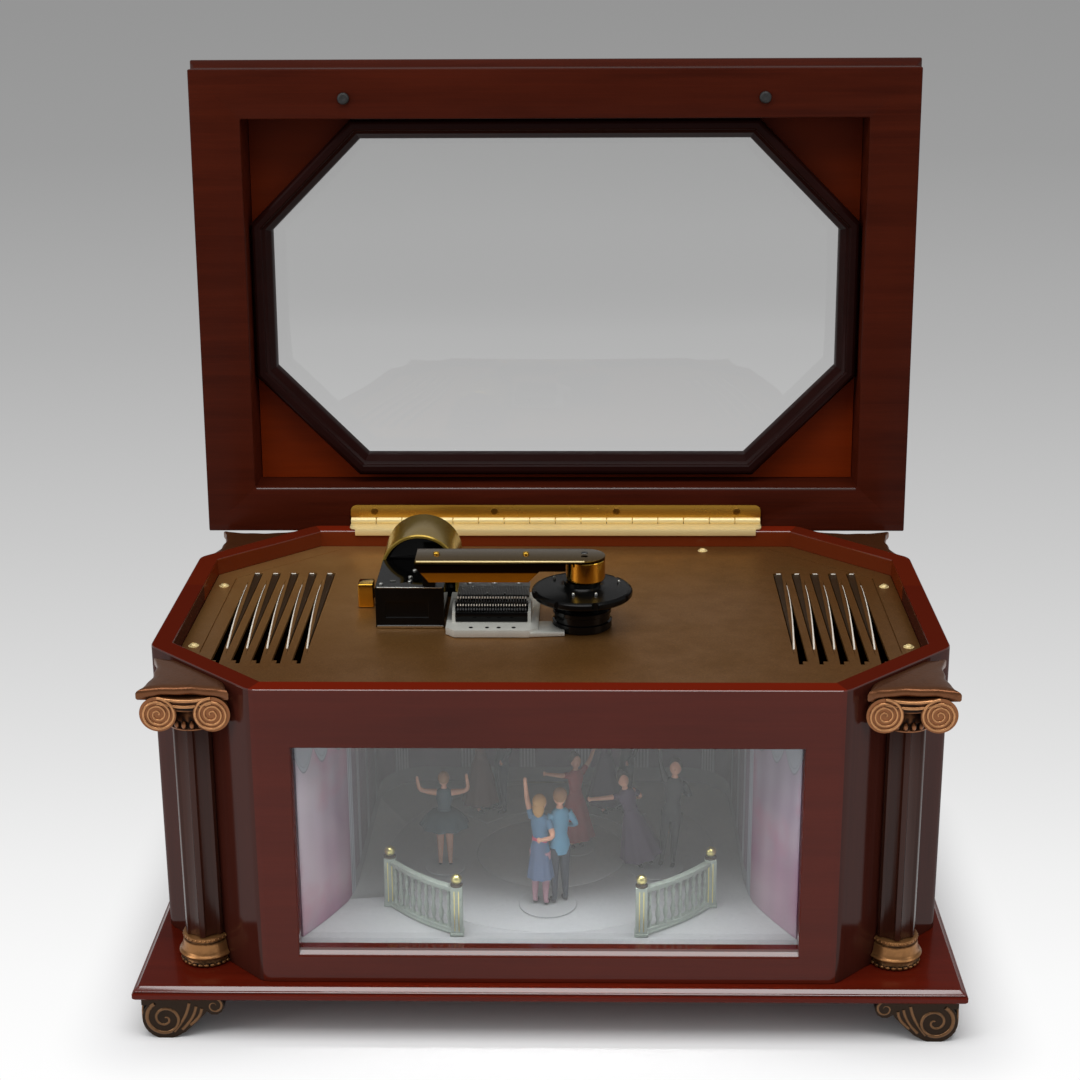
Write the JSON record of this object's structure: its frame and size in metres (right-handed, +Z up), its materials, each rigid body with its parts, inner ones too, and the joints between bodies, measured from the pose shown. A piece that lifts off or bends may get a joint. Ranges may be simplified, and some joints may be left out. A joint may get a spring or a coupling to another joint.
{
  "type": "music box",
  "caption": "Wooden music box with an open glazed lid, a disc movement on its plate and a turning ballroom scene behind a front window.",
  "frame": {"origin": "centre of the whole object's box, on the surface that its feet stand on, with the lid open", "axes": "+Z up, +Y from the window front to the hinge side, +X to the right seen from the front"},
  "size_m": [0.35, 0.2614, 0.3772],
  "materials": {
    "mahogany": "gloss lacquered red mahogany",
    "corner_board": "satin orange-brown stain",
    "dark_moulding": "gloss near-black mahogany",
    "bronze": "antique copper bronze, dark in the hollows",
    "sound_plate": "fine speckled dull gold",
    "brass": "mirror gold plate",
    "dome_brass": "mirror gold plate",
    "black_gloss": "gloss black",
    "grey_cast": "bead-blasted casting",
    "steel": "brushed",
    "glass": "clear",
    "rubber": "matte black",
    "stage_floor": "pale lavender grey",
    "gear_plastic": "natural moulded",
    "drape_print": null,
    "resin": "pale green painted resin with gold balls",
    "painted_figure": "hand painted resin figures"
  },
  "bodies": {
    "case": {"base_board": "mahogany", "front_panel": "mahogany", "rear_panel": "mahogany", "left_panel": "mahogany", "right_panel": "mahogany", "corner_panel_front_left": "mahogany", "corner_panel_front_right": "mahogany", "corner_panel_rear_left": "mahogany", "corner_panel_rear_right": "mahogany", "column_shaft_front_left": "dark_moulding", "column_shaft_front_right": "dark_moulding", "column_shaft_rear_left": "dark_moulding", "column_shaft_rear_right": "dark_moulding", "foot_front_left": "bronze", "foot_front_right": "bronze", "foot_rear_left": "bronze", "foot_rear_right": "bronze", "column_capital_front_left": "bronze", "column_capital_front_right": "bronze", "column_capital_rear_left": "bronze", "column_capital_rear_right": "bronze", "column_base_front_left": "bronze", "column_base_front_right": "bronze", "column_base_rear_left": "bronze", "column_base_rear_right": "bronze", "top_plate": "sound_plate", "hinge_leaf_case": "brass", "hinge_pin": "brass", "dome_cover": "dome_brass", "movement_housing": "black_gloss", "hub_base": "black_gloss", "power_jack": "black_gloss", "bedplate": "grey_cast", "movement_motor": "grey_cast", "stage_motor": "grey_cast", "comb": "steel", "window_glass": "glass", "stage_floor": "stage_floor", "backdrop": "drape_print", "balustrade_left": "resin", "balustrade_right": "resin"},
    "lid": {"lid_frame": "mahogany", "lid_panel": "corner_board", "lid_glass": "glass", "lid_bumper_left": "rubber", "lid_bumper_right": "rubber", "hinge_leaf_lid": "brass"},
    "pressure_arm": {"pressure_arm": "brass"},
    "start_lever": {"start_lever": "brass"},
    "disc_hub": {"disc_hub": "black_gloss"},
    "star_wheels": {"star_wheels": "steel"},
    "stage_ring": {"stage_ring": "stage_floor", "couple_front": "painted_figure", "couple_right": "painted_figure", "couples_rear": "painted_figure", "dancer_left": "painted_figure"},
    "stage_disc": {"stage_disc": "stage_floor", "dancer_centre": "painted_figure"},
    "stage_idler": {"stage_idler": "gear_plastic"},
    "stage_pinion": {"stage_pinion": "gear_plastic"}
  },
  "joints": [
    {"name": "lid_hinge", "type": "hinge", "parent": "case", "child": "lid", "pos_m": [0, 0.08898, 0.1582], "axis": [1, 0, 0], "range_deg": [0, 93.2]},
    {"name": "arm_hinge", "type": "hinge", "parent": "case", "child": "pressure_arm", "pos_m": [-0.053, -0.03122, 0.1758], "axis": [0, 1, 0], "range_deg": [-75, 0]},
    {"name": "lever_slide", "type": "slide", "parent": "case", "child": "start_lever", "axis": [0, 1, 0], "range_m": [0, 0.005]},
    {"name": "hub_spin", "type": "hinge", "parent": "case", "child": "disc_hub", "pos_m": [0.0136, -0.03122, 0.1485], "axis": [0, 0, 1], "continuous": true},
    {"name": "star_spin", "type": "hinge", "parent": "case", "child": "star_wheels", "pos_m": [0, -0.02922, 0.1568], "axis": [1, 0, 0], "continuous": true},
    {"name": "ring_spin", "type": "hinge", "parent": "case", "child": "stage_ring", "pos_m": [0, -0.03072, 0.029], "axis": [0, 0, 1], "continuous": true},
    {"name": "disc_spin", "type": "hinge", "parent": "case", "child": "stage_disc", "pos_m": [0, -0.03072, 0.029], "axis": [0, 0, 1], "continuous": true},
    {"name": "idler_spin", "type": "hinge", "parent": "case", "child": "stage_idler", "pos_m": [0.042, -0.03072, 0.029], "axis": [0, 0, 1], "continuous": true},
    {"name": "pinion_spin", "type": "hinge", "parent": "case", "child": "stage_pinion", "pos_m": [0, 0.05178, 0.029], "axis": [0, 0, 1], "continuous": true}
  ],
  "couplings": [
    {"joint": "star_spin", "follows": "hub_spin", "ratio": -4},
    {"joint": "disc_spin", "follows": "ring_spin", "ratio": -1.625},
    {"joint": "idler_spin", "follows": "ring_spin", "ratio": 5.2},
    {"joint": "pinion_spin", "follows": "ring_spin", "ratio": -5.6}
  ]
}
